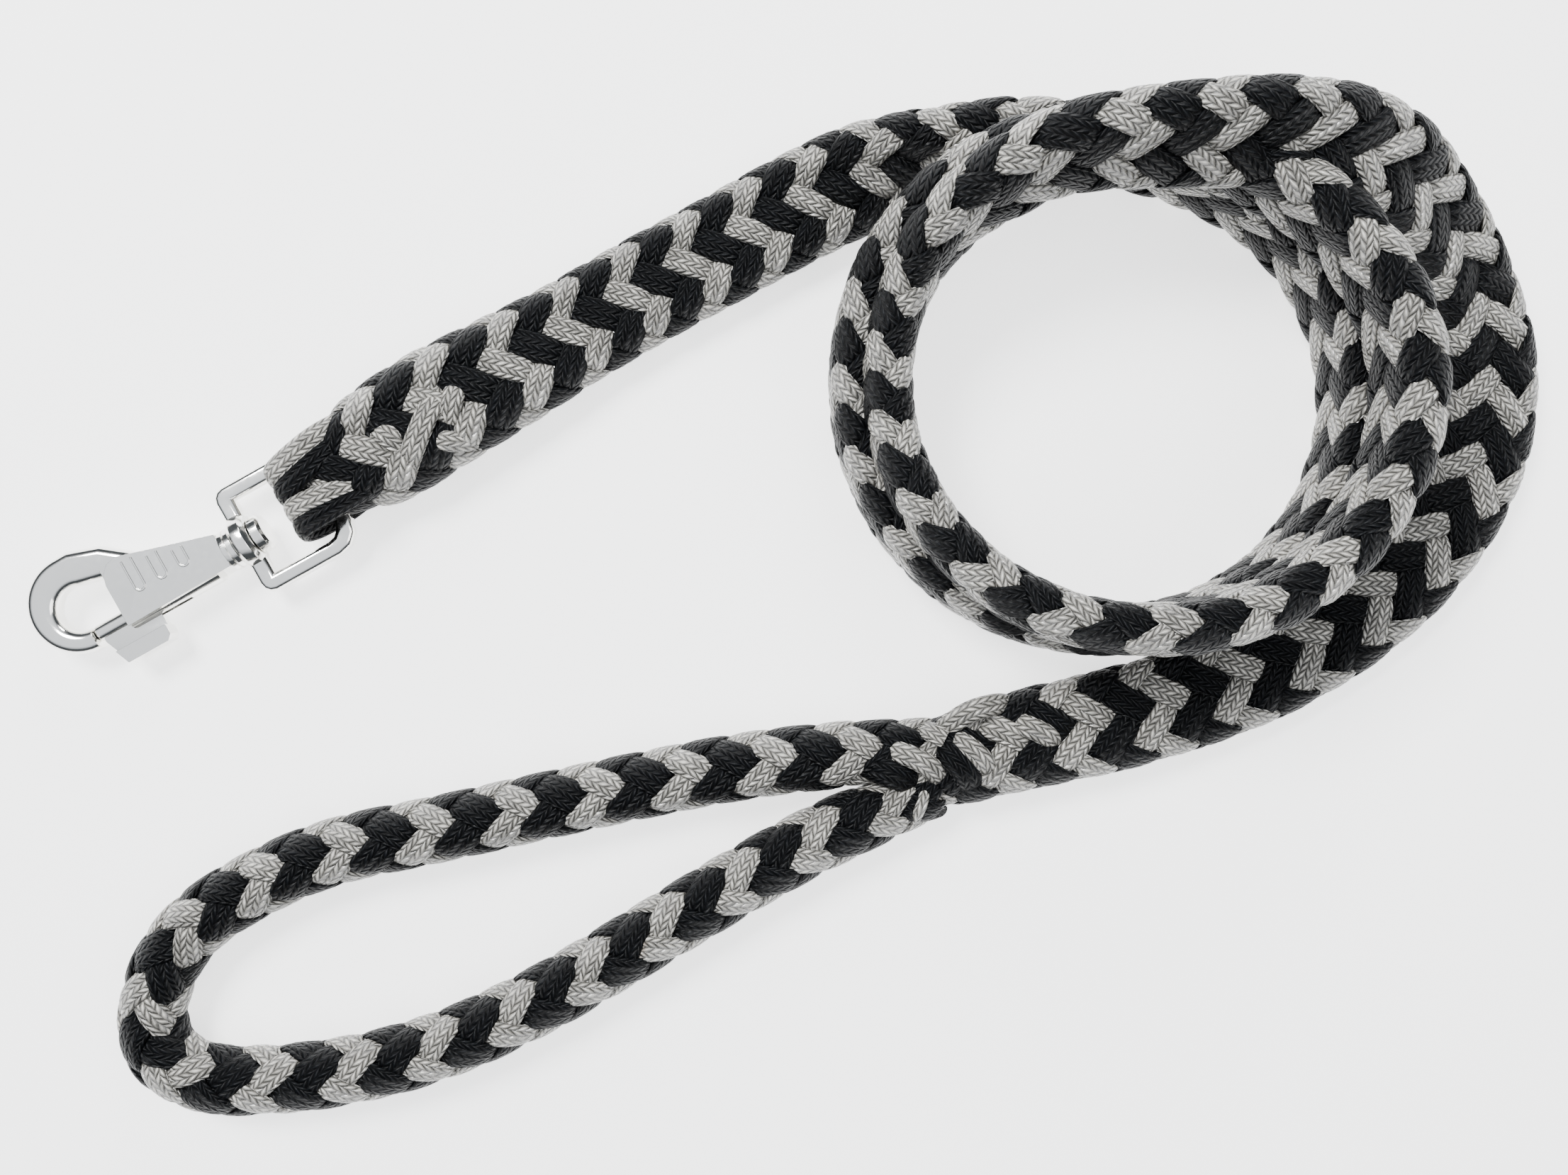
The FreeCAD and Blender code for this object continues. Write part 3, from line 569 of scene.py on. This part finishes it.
def smooth_route(points):
    """Evenly spaced points read from a NURBS spline with the route as its control points.

    With the points come their lengths from the start.
    """
    curve = bpy.data.curves.new("route", "CURVE")
    curve.dimensions = "3D"
    curve.resolution_u = 24
    spline = curve.splines.new("NURBS")
    spline.points.add(len(points) - 1)
    for point, place in zip(spline.points, points):
        point.co = (*place, 1.0)
    spline.order_u = 3
    spline.use_endpoint_u = True
    holder = bpy.data.objects.new("route", curve)
    bpy.context.scene.collection.objects.link(holder)
    graph = bpy.context.evaluated_depsgraph_get()
    mesh = bpy.data.meshes.new_from_object(holder.evaluated_get(graph), depsgraph=graph)
    raw = np.array([vertex.co[:] for vertex in mesh.vertices])
    bpy.data.objects.remove(holder)
    bpy.data.meshes.remove(mesh)
    bpy.data.curves.remove(curve)
    gone = np.concatenate([[0], np.cumsum(np.linalg.norm(np.diff(raw, axis=0), axis=1))])
    count = int(gone[-1] / RING_STEP) + 1
    even = np.linspace(0, gone[-1], count)
    return np.stack([np.interp(even, gone, raw[:, axis]) for axis in range(3)], axis=1), even


def nearest_lengths(controls, line, lengths):
    """How far along the line each control point lies, searched for from the one before."""
    reach = int(SEARCH_REACH / RING_STEP)
    found = [0]
    for control in controls[1:]:
        window = line[found[-1]:found[-1] + reach]
        found.append(found[-1] + int(np.argmin(np.linalg.norm(window - control, axis=1))))
    found[-1] = len(line) - 1
    return lengths[found]


def soften(values, reach):
    """A moving average over a reach in metres."""
    half = max(1, int(reach / RING_STEP / 2))
    padded = np.pad(values, ((half, half),) + ((0, 0),) * (values.ndim - 1), mode="edge")
    kernel = np.ones(2 * half + 1) / (2 * half + 1)
    if values.ndim == 1:
        return np.convolve(padded, kernel, mode="valid")
    return np.stack([np.convolve(column, kernel, mode="valid") for column in padded.T], axis=1)


def unit(vectors):
    """Each row brought to a length of 1."""
    return vectors / np.linalg.norm(vectors, axis=1, keepdims=True)


def frames_along(line, roll):
    """Tangent, sideways and upper directions of a rope whose flat side is rolled from level."""
    tangent = unit(soften(np.gradient(line, axis=0), DIRECTION_BLEND))
    level = unit(UP - tangent * (tangent @ UP)[:, None])
    right = unit(np.cross(tangent, UP))
    upper = np.cos(roll)[:, None] * level + np.sin(roll)[:, None] * right
    upper = unit(upper - tangent * np.sum(tangent * upper, axis=1, keepdims=True))
    return tangent, np.cross(tangent, upper), upper


def oval_place(share, wide, thick):
    """Sideways and upward place and normal on the rope's section, a flat oval with round ends.

    The share is of its outline, from the middle of its top.
    """
    radius = thick / 2
    half_flat = (wide - thick) / 2
    arc = math.pi * radius
    total = 4 * half_flat + 2 * arc
    length = (share % 1.0) * total
    mirrored = length > total / 2
    length = np.where(mirrored, total - length, length)
    angle = np.clip((length - half_flat) / radius, 0, math.pi)
    past = np.clip(length - half_flat - arc, 0, None)
    side = np.clip(length, 0, half_flat) + radius * np.sin(angle) - past
    lift = radius * np.cos(angle)
    sign = np.where(mirrored, -1.0, 1.0)
    return side * sign, lift, np.sin(angle) * sign, np.cos(angle)


def oval_outline(wide, thick):
    """The length round the rope's section."""
    return 2 * (wide - thick) + math.pi * thick


def braid_cord(route, columns, index, direction, cord_thick, cover):
    """The centreline, normals and girth of one cord of the braid.

    A cord keeps its direction round the rope. It lies over the cords of the other direction in
    every second column and dives under them in the columns between.
    """
    phase = SWAY_STEP * index + direction
    sway = SWAY * np.sin(2 * math.pi * route["lengths"] / SWAY_LENGTH + phase)
    turned = index + FIRST_TURN + direction * route["turns"] + sway
    sine = np.sin(math.pi * turned) * direction
    over = np.tanh(DIVE_SHARPNESS * sine) / math.tanh(DIVE_SHARPNESS)
    share = (turned - 0.5 + route["slip"]) / columns
    side, lift, side_normal, lift_normal = oval_place(share, route["wide"], route["thick"])
    inset = cord_thick / 2 + 0.5 * cord_thick * (1 - over)
    side = side - side_normal * inset
    lift = lift - lift_normal * inset
    sideways, upper = route["sideways"], route["upper"]
    line = route["line"] + sideways * side[:, None] + upper * lift[:, None]
    normal = sideways * side_normal[:, None] + upper * lift_normal[:, None]
    girth = route["spacing"] * cover * (1 + CREST_GROWTH * over)
    return line, unit(normal), girth


def cord_piece(name, line, normal, girth, thick, tree, finish):
    """One cord swept along its line; girth is its width at each point."""
    mesh = bpy.data.meshes.new(name)
    edges = [(i, i + 1) for i in range(len(line) - 1)]
    mesh.from_pydata([tuple(point) for point in line], edges, [])
    outward = mesh.attributes.new("outward", "FLOAT_VECTOR", "POINT")
    outward.data.foreach_set("vector", normal.astype(np.float32).ravel())
    usual = float(np.median(girth))
    scale = mesh.attributes.new("girth", "FLOAT", "POINT")
    scale.data.foreach_set("value", (girth / usual).astype(np.float32))
    values = {"Cord width": usual, "Cord thickness": thick, "Sides": CORD_SIDES, "Finish": finish}
    return applied(name, mesh, tree, values)


def finishes():
    """The rope's two finishes, made once."""
    rope = bpy.context.scene.lead_rope
    made = {}
    stain = (tuple(rope.stain_colour), STAIN_PLACE, STAIN_RADIUS)
    # Silver grey yarn: silky, bright where it faces the light; between the yarns its colour is painted
    # down to 0.04 of itself as shade.
    made["light"] = bpy.data.materials.get("Silver polypropylene, braided") or braided_polypropylene(
        "Silver polypropylene, braided", tuple(rope.light_colour), 0.04, 0.27, 0.0, 1.0, stain)
    # Black yarn soaks up light: only its sheen shows the weave; between the yarns its colour is
    # painted down to 0.25 of itself as shade.
    made["dark"] = bpy.data.materials.get("Black polypropylene, braided") or braided_polypropylene(
        "Black polypropylene, braided", tuple(rope.dark_colour), 0.25, 0.48, 0.0, 0.18)
    return made


def cords_of_rope(prefix, route, columns, cord_thick):
    """Both directions' cords of one rope, light and black by turns, on the body of the lead."""
    tree = bpy.data.node_groups.get("Cord along a line") or cord_tree()
    colours = finishes()
    pieces = []
    for direction, word in ((1, "right"), (-1, "left")):
        for index in range(columns):
            shade = "light" if index % 2 == 0 else "dark"
            line, normal, girth = braid_cord(
                route, columns, index, direction, cord_thick, COVER[shade])
            piece = cord_piece(f"{prefix}_{word}_cord_{index + 1}", line, normal, girth,
                               cord_thick, tree, colours[shade])
            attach(piece, "lead")
            pieces.append(piece)
    return pieces


def fold_points():
    """The nose's cords as tucks, each a slanted hairpin round the bar."""
    tucks = []
    for shade, width, across, slant in NOSE_FOLDS:
        points = [(x, across + slant * share, z) for x, share, z in FOLD_ROUTE]
        tucks.append((shade, width, points))
    return tucks


def tucked_cords(prefix, tucks, cord_thick, folded=False):
    """Short cords laid over the braid, with both ends worked under it.

    A cord's flat side faces up, or out of the fold where it is folded round the bar.
    """
    tree = bpy.data.node_groups.get("Cord along a line") or cord_tree()
    colours = finishes()
    pieces = []
    for number, (shade, width, points) in enumerate(tucks, start=1):
        line, lengths = smooth_route(points)
        tangent = unit(np.gradient(line, axis=0))
        if folded:
            normal = unit(np.cross(ACROSS, tangent))
        else:
            normal = unit(UP - tangent * (tangent @ UP)[:, None])
        narrowing = 1 - TUCK_NARROWING * np.abs(2 * lengths / lengths[-1] - 1) ** 4
        piece = cord_piece(f"{prefix}_tuck_{number}", line, normal, width * narrowing, cord_thick,
                           tree, colours[shade])
        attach(piece, "lead")
        pieces.append(piece)
    return pieces


def coil_points():
    """Control points and rolls of the coil's turns."""
    keys = np.array(COIL_KEYS, dtype=float)
    points, rolls = [], []
    for turned in range(COIL_FIRST, COIL_LAST + 1, COIL_STEP):
        radius, height, roll = (np.interp(turned, keys[:, 0], keys[:, i]) for i in (1, 2, 3))
        heading = math.radians(COIL_HEADING - turned)
        points.append((COIL_CENTRE[0] + radius * MM * math.cos(heading),
                       COIL_CENTRE[1] + radius * MM * math.sin(heading), height * MM))
        rolls.append(roll)
    return points, rolls


def rope_route(controls, wides, thicks, rolls, tilts, slips, columns):
    """Everything that the cords of one rope follow, at each point of its smooth centreline.

    The sizes, rolls, tilts and slips are given at the control points.
    """
    line, lengths = smooth_route(controls)
    at = nearest_lengths(np.array(controls), line, lengths)
    values = {}
    for key, given in (("wide", wides), ("thick", thicks), ("roll", rolls), ("tilt", tilts),
                       ("slip", slips)):
        values[key] = soften(np.interp(lengths, at, given), SIZE_BLEND)
    tangent, sideways, upper = frames_along(line, np.radians(values["roll"]))
    outline = oval_outline(values["wide"], values["thick"])
    turn_rate = values["tilt"] / outline * columns
    steps = 0.5 * (turn_rate[1:] + turn_rate[:-1]) * np.diff(lengths)
    turns = np.concatenate([[0], np.cumsum(steps)])
    spacing = outline / columns * np.cos(np.arctan(values["tilt"]))
    return {"line": line, "lengths": lengths, "sideways": sideways, "upper": upper,
            "turns": turns, "spacing": spacing, **values}


class LEADROPE_OT_rope(bpy.types.Operator):
    """Braid the flat rope from the snap's eye through the coil to the hand loop"""
    bl_idname = "leadrope.rope"
    bl_label = "Flat rope"

    def execute(self, context):
        rope = context.scene.lead_rope
        coil, coil_rolls = coil_points()
        controls = NOSE_POINTS + LEAD_POINTS + coil + OUTER_POINTS + MERGE_POINTS
        lead, wound = len(LEAD_POINTS), len(coil) + len(OUTER_POINTS)
        wides = [wide or rope.doubled_wide for wide in NOSE_WIDES]
        wides += [rope.wide + LEAD_EXTRA] * lead + [rope.wide] * wound + MERGE_WIDES
        thicks = [thick or rope.doubled_thick for thick in NOSE_THICKS]
        thicks += [rope.thick] * (lead + wound) + MERGE_THICKS
        rolls = [0] * len(NOSE_POINTS) + LEAD_ROLLS
        rolls += coil_rolls + OUTER_ROLLS + [0] * len(MERGE_POINTS)
        start = len(NOSE_POINTS) + lead
        rest = len(controls) - start
        tilts = [LEAD_TILT] * start + [COIL_TILT] * rest
        slips = [LEAD_SLIP] * start + [COIL_SLIP] * rest
        route = rope_route(controls, wides, thicks, rolls, tilts, slips, MAIN_COLUMNS)
        closing = np.clip(1 - route["lengths"] / NOSE_LENGTH, 0, 1)
        route["thick"] = route["thick"] * np.sqrt(1 - NOSE_CLOSE_THICK * closing ** 2)
        route["wide"] = route["wide"] * np.sqrt(1 - NOSE_CLOSE_WIDE * closing ** 2)
        pieces = cords_of_rope("rope", route, MAIN_COLUMNS, rope.cord_thick)
        pieces += tucked_cords("nose", fold_points(), rope.cord_thick, folded=True)
        pieces += tucked_cords("rope_end", END_TUCKS, rope.cord_thick)
        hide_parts("doubled_end", "lead_run", "rope_coil", "outer_run", "handle_merge")
        return {"FINISHED"}


class LEADROPE_OT_hand_loop(bpy.types.Operator):
    """Braid the round cord of the hand loop"""
    bl_idname = "leadrope.hand_loop"
    bl_label = "Hand loop"

    def execute(self, context):
        rope = context.scene.lead_rope
        count = len(HANDLE_POINTS)
        end = rope.handle_dia * LOOP_END
        wides = [end] + [rope.handle_dia] * (count - 2) + [end]
        thicks = [LOOP_ROUND * wide for wide in wides]
        route = rope_route(HANDLE_POINTS, wides, thicks, [0] * count, [COIL_TILT] * count,
                           [COIL_SLIP] * count, HANDLE_COLUMNS)
        pieces = cords_of_rope("hand_loop", route, HANDLE_COLUMNS, rope.cord_thick)
        pieces += tucked_cords("splice", SPLICE_TUCKS, rope.cord_thick)
        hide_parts("handle_loop")
        return {"FINISHED"}


# ---------------------------------------------------------------- snap

def softened_casting(node, body, finish, edge_round):
    """A merged copy of a CAD node with smooth curved faces, and rounded edges if a radius is given."""
    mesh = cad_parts[node].data.copy()
    shape = bmesh.new()
    shape.from_mesh(mesh)
    bmesh.ops.remove_doubles(shape, verts=shape.verts, dist=WELD)
    bmesh.ops.dissolve_limit(
        shape, angle_limit=math.radians(FLAT), verts=shape.verts, edges=shape.edges)
    shape.to_mesh(mesh)
    shape.free()
    mesh.shade_smooth()
    mesh.set_sharp_from_angle(angle=math.radians(CREASE))
    mesh.materials.clear()
    mesh.materials.append(finish)
    piece = bpy.data.objects.new(node + "_finished", mesh)
    bpy.context.scene.collection.objects.link(piece)
    if edge_round > 0:
        bevel = piece.modifiers.new("Edge rounding", "BEVEL")
        bevel.width = edge_round
        bevel.segments = EDGE_SEGMENTS
        bevel.limit_method = "ANGLE"
        bevel.angle_limit = math.radians(CREASE)
        bevel.use_clamp_overlap = False
        bevel.harden_normals = True
    graph = bpy.context.evaluated_depsgraph_get()
    result = bpy.data.meshes.new_from_object(piece.evaluated_get(graph), depsgraph=graph)
    piece.modifiers.clear()
    piece.data = result
    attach(piece, body)
    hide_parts(node)
    return piece


class LEADROPE_OT_snap(bpy.types.Operator):
    """Plate the snap's castings and give the spring its bare drawn wire finish"""
    bl_idname = "leadrope.snap"
    bl_label = "Swivel snap"

    def execute(self, context):
        snap = context.scene.lead_rope_snap
        plating = plated_casting(tuple(snap.plating_colour), snap.plating_roughness)
        for node, body in (("hook_body", "snap"), ("bolt", "slider"), ("thumb_tab", "slider"),
                           ("swivel_eye", "lead")):
            softened_casting(node, body, plating, snap.edge_round)
        spring = softened_casting("bolt_spring", "snap", drawn_spring_wire(), 0.0)
        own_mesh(spring)
        return {"FINISHED"}


# ---------------------------------------------------------------- stage

class LEADROPE_OT_stage(bpy.types.Operator):
    """Lay the floor and set the camera and the studio lights"""
    bl_idname = "leadrope.stage"
    bl_label = "Stage"

    def execute(self, context):
        stage = context.scene.lead_rope_stage
        scene = context.scene
        middle = (Vector(CAD_BOX[0]) + Vector(CAD_BOX[1])) / 2
        mesh = bpy.data.meshes.new("floor")
        corners = [(middle[0] + x * FLOOR_HALF, middle[1] + y * FLOOR_HALF, -FLOOR_DROP)
                   for x, y in ((-1, -1), (1, -1), (1, 1), (-1, 1))]
        mesh.from_pydata(corners, [], [(0, 1, 2, 3)])
        floor = bpy.data.objects.new("floor", mesh)
        scene.collection.objects.link(floor)
        # Matt background paper: no gloss, with a glow of its own so that it stays near white.
        material, _, shader = new_material("Matt paper floor")
        shader.inputs["Base Color"].default_value = (*stage.floor_colour, 1.0)
        shader.inputs["Roughness"].default_value = 0.9
        shader.inputs["Emission Color"].default_value = (1.0, 1.0, 1.0, 1.0)
        shader.inputs["Emission Strength"].default_value = FLOOR_GLOW
        mesh.materials.append(material)

        camera = bpy.data.objects.new("camera", bpy.data.cameras.new("camera"))
        scene.collection.objects.link(camera)
        camera.location = (CAMERA_X, CAMERA_Y, stage.camera_height)
        camera.rotation_euler = (0.0, 0.0, stage.camera_turn)
        camera.data.sensor_width = SENSOR
        camera.data.lens = LENS
        camera.data.clip_start = 0.01
        scene.camera = camera

        for name, place, size, power in LAMPS:
            lamp = bpy.data.lights.new(name, "AREA")
            lamp.size = size
            lamp.energy = power
            holder = bpy.data.objects.new(name, lamp)
            holder.location = place
            aim = Vector((middle[0], middle[1], 0.0)) - Vector(place)
            holder.rotation_euler = aim.to_track_quat("-Z", "Y").to_euler()
            scene.collection.objects.link(holder)
        world = bpy.data.worlds.new("studio")
        scene.world = world
        world.use_nodes = True
        nodes = world.node_tree
        sky = nodes.nodes["Background"]
        view = add(nodes, "ShaderNodeTexCoord").outputs["Generated"]
        lift = add(nodes, "ShaderNodeSeparateXYZ", {"Vector": view}).outputs["Z"]
        ramp = add(nodes, "ShaderNodeValToRGB", {"Fac": lift})
        for stop, (position, colour) in zip(ramp.color_ramp.elements, ROOM):
            stop.position = position
            stop.color = colour
        nodes.links.new(ramp.outputs["Color"], sky.inputs["Color"])
        sky.inputs["Strength"].default_value = ROOM_LIGHT
        return {"FINISHED"}


class VIEW3D_PT_lead_rope(bpy.types.Panel):
    """The lead rope's settings and the steps that build it"""
    bl_label = "Lead Rope"
    bl_space_type = "VIEW_3D"
    bl_region_type = "UI"
    bl_category = "Lead Rope"

    def draw(self, context):
        layout = self.layout
        scene = context.scene
        for settings in (scene.lead_rope, scene.lead_rope_snap, scene.lead_rope_stage):
            box = layout.box()
            for name in settings.__annotations__:
                box.prop(settings, name)
        for operator in OPERATORS:
            layout.operator(operator.bl_idname)


OPERATORS = (LEADROPE_OT_stage, LEADROPE_OT_rope, LEADROPE_OT_hand_loop, LEADROPE_OT_snap)
CLASSES = (RopeSettings, SnapSettings, StageSettings, *OPERATORS, VIEW3D_PT_lead_rope)


def register():
    for cls in CLASSES:
        bpy.utils.register_class(cls)
    bpy.types.Scene.lead_rope = bpy.props.PointerProperty(type=RopeSettings)
    bpy.types.Scene.lead_rope_snap = bpy.props.PointerProperty(type=SnapSettings)
    bpy.types.Scene.lead_rope_stage = bpy.props.PointerProperty(type=StageSettings)


def unregister():
    del bpy.types.Scene.lead_rope_stage
    del bpy.types.Scene.lead_rope_snap
    del bpy.types.Scene.lead_rope
    for cls in reversed(CLASSES):
        bpy.utils.unregister_class(cls)


def main():
    """Builds the stage and the whole rope."""
    register()
    bpy.ops.leadrope.stage()
    bpy.ops.leadrope.rope()
    bpy.ops.leadrope.hand_loop()
    bpy.ops.leadrope.snap()


if __name__ == "__main__":
    main()
